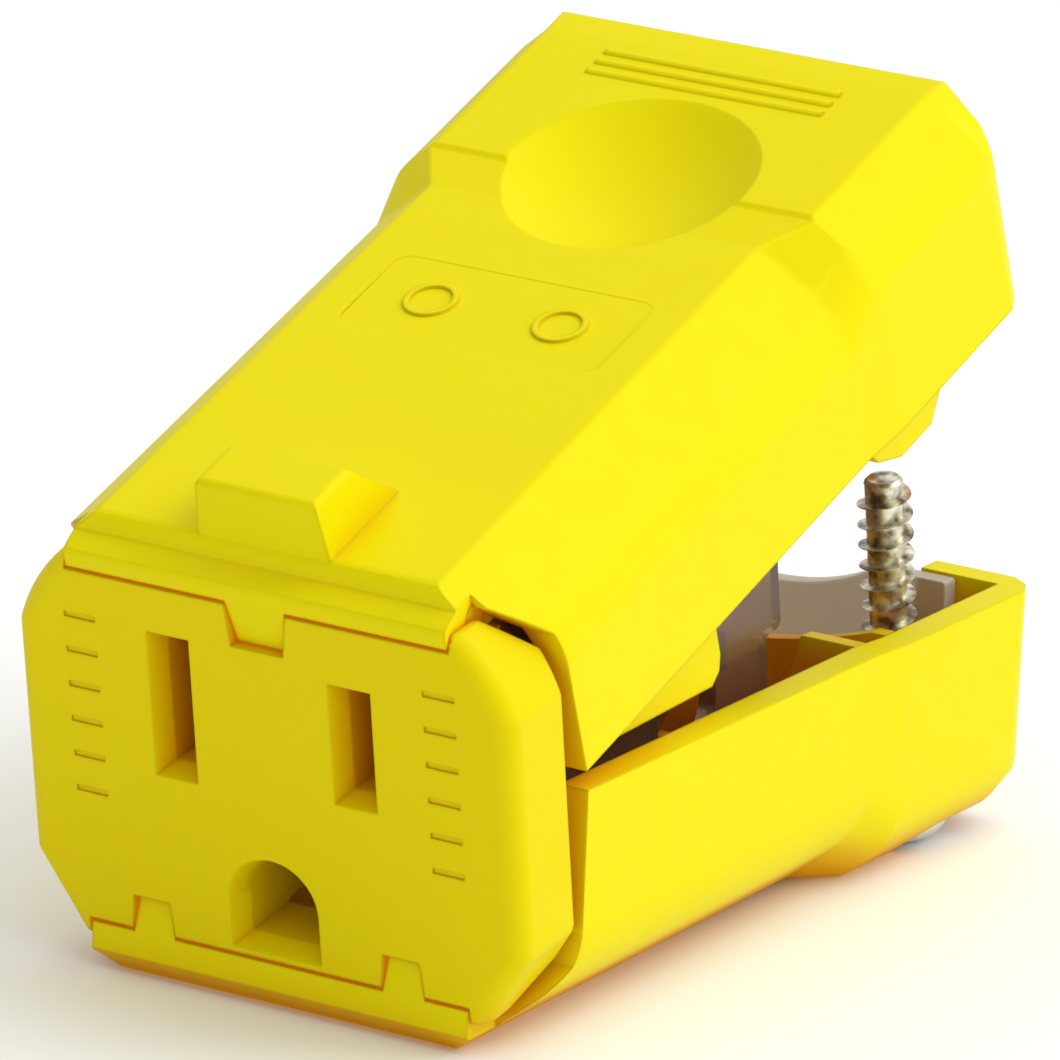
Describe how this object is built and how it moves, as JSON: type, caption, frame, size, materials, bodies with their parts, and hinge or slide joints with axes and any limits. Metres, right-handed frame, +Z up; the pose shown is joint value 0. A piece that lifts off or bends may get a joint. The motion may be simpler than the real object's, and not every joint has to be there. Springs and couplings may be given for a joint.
{
  "type": "hinged cord connector",
  "caption": "Yellow female cord connector, 5-15 pattern, shown open: two shells hinged on an outlet face block, clear contact carrier, terminals, cord seal and captive screws.",
  "frame": {"origin": "middle of the part's footprint on the surface it lies on, shells open as at rest", "axes": "+X to the right facing the outlets, +Y from the outlet face to the cord end, +Z up"},
  "size_m": [0.0358, 0.064, 0.0497],
  "materials": {
    "yellow_shell": "fine moulded satin",
    "yellow_face": "fine moulded satin",
    "clear_carrier": "smoked clear plastic",
    "clear_seal": "translucent soft plastic",
    "contact_brass": "stamped",
    "steel_zinc": "zinc plated",
    "screw_steel": "yellow passivated, partly worn",
    "green_screw": "green dyed plating",
    "grey_fibre": "plain"
  },
  "bodies": {
    "lower_shell": {"lower_shell": "yellow_shell", "lower_cord_seal": "clear_seal"},
    "contact_block": {"face_block": "yellow_face", "contact_carrier": "clear_carrier", "line_contact": "contact_brass", "neutral_contact": "contact_brass", "ground_contact": "contact_brass"},
    "upper_shell": {"upper_shell": "yellow_shell", "upper_cord_seal": "clear_seal"},
    "screw_guide_right": {"screw_retainer_right": "grey_fibre"},
    "screw_lift_right": {"captive_washer_right": "steel_zinc"},
    "screw_right": {"assembly_screw_right": "screw_steel"},
    "screw_guide_left": {"screw_retainer_left": "grey_fibre"},
    "screw_lift_left": {"captive_washer_left": "steel_zinc"},
    "screw_left": {"assembly_screw_left": "screw_steel"},
    "line_clamp": {"line_clamp_plate": "steel_zinc"},
    "line_screw": {"line_terminal_screw": "contact_brass"},
    "neutral_clamp": {"neutral_clamp_plate": "steel_zinc"},
    "neutral_screw": {"neutral_terminal_screw": "steel_zinc"},
    "ground_clamp": {"ground_clamp_plate": "steel_zinc"},
    "ground_screw": {"ground_terminal_screw": "green_screw"}
  },
  "joints": [
    {"name": "block_tilt", "type": "hinge", "parent": "lower_shell", "child": "contact_block", "pos_m": [0, -0.02442, 0.00299], "axis": [1, 0, 0], "range_deg": [-9.6, 1]},
    {"name": "upper_tilt", "type": "hinge", "parent": "contact_block", "child": "upper_shell", "pos_m": [0, -0.02859, 0.02743], "axis": [1, 0, 0], "range_deg": [-10.58, 1]},
    {"name": "screw_lean_right", "type": "hinge", "parent": "lower_shell", "child": "screw_guide_right", "pos_m": [0.01195, 0.02528, 0.00231], "axis": [1, 0, 0], "range_deg": [-9.8, 1.2]},
    {"name": "screw_lift_right", "type": "slide", "parent": "screw_guide_right", "child": "screw_lift_right", "axis": [0, -0.1683, 0.9857], "range_m": [-0.0155, 0]},
    {"name": "screw_turn_right", "type": "hinge", "parent": "screw_lift_right", "child": "screw_right", "pos_m": [0.01195, 0.02528, 0.00231], "axis": [0, -0.1683, 0.9857], "range_deg": [-3987.7, 2]},
    {"name": "screw_lean_left", "type": "hinge", "parent": "lower_shell", "child": "screw_guide_left", "pos_m": [-0.01195, 0.02528, 0.00231], "axis": [1, 0, 0], "range_deg": [-9.8, 1.2]},
    {"name": "screw_lift_left", "type": "slide", "parent": "screw_guide_left", "child": "screw_lift_left", "axis": [0, -0.1683, 0.9857], "range_m": [-0.0155, 0]},
    {"name": "screw_turn_left", "type": "hinge", "parent": "screw_lift_left", "child": "screw_left", "pos_m": [-0.01195, 0.02528, 0.00231], "axis": [0, -0.1683, 0.9857], "range_deg": [-3987.7, 2]},
    {"name": "line_clamp_travel", "type": "slide", "parent": "contact_block", "child": "line_clamp", "axis": [1, 0, 0], "range_m": [0, 0.0018]},
    {"name": "line_screw_turn", "type": "hinge", "parent": "line_clamp", "child": "line_screw", "pos_m": [0.00785, -0.00353, 0.01548], "axis": [1, 0, 0], "range_deg": [-2, 812]},
    {"name": "neutral_clamp_travel", "type": "slide", "parent": "contact_block", "child": "neutral_clamp", "axis": [-1, 0, 0], "range_m": [0, 0.0018]},
    {"name": "neutral_screw_turn", "type": "hinge", "parent": "neutral_clamp", "child": "neutral_screw", "pos_m": [-0.00785, -0.00353, 0.01548], "axis": [-1, 0, 0], "range_deg": [-2, 812]},
    {"name": "ground_clamp_travel", "type": "slide", "parent": "contact_block", "child": "ground_clamp", "axis": [0, 0.1683, -0.9857], "range_m": [0, 0.0018]},
    {"name": "ground_screw_turn", "type": "hinge", "parent": "ground_clamp", "child": "ground_screw", "pos_m": [0, -0.00315, 0.01327], "axis": [0, 0.1683, -0.9857], "range_deg": [-2, 812]}
  ],
  "couplings": [
    {"joint": "screw_lean_right", "follows": "block_tilt", "ratio": 1},
    {"joint": "screw_turn_right", "follows": "screw_lift_right", "rad_per_m": 4488},
    {"joint": "screw_lean_left", "follows": "block_tilt", "ratio": 1},
    {"joint": "screw_turn_left", "follows": "screw_lift_left", "rad_per_m": 4488},
    {"joint": "line_screw_turn", "follows": "line_clamp_travel", "rad_per_m": 7854},
    {"joint": "neutral_screw_turn", "follows": "neutral_clamp_travel", "rad_per_m": 7854},
    {"joint": "ground_screw_turn", "follows": "ground_clamp_travel", "rad_per_m": 7854}
  ]
}
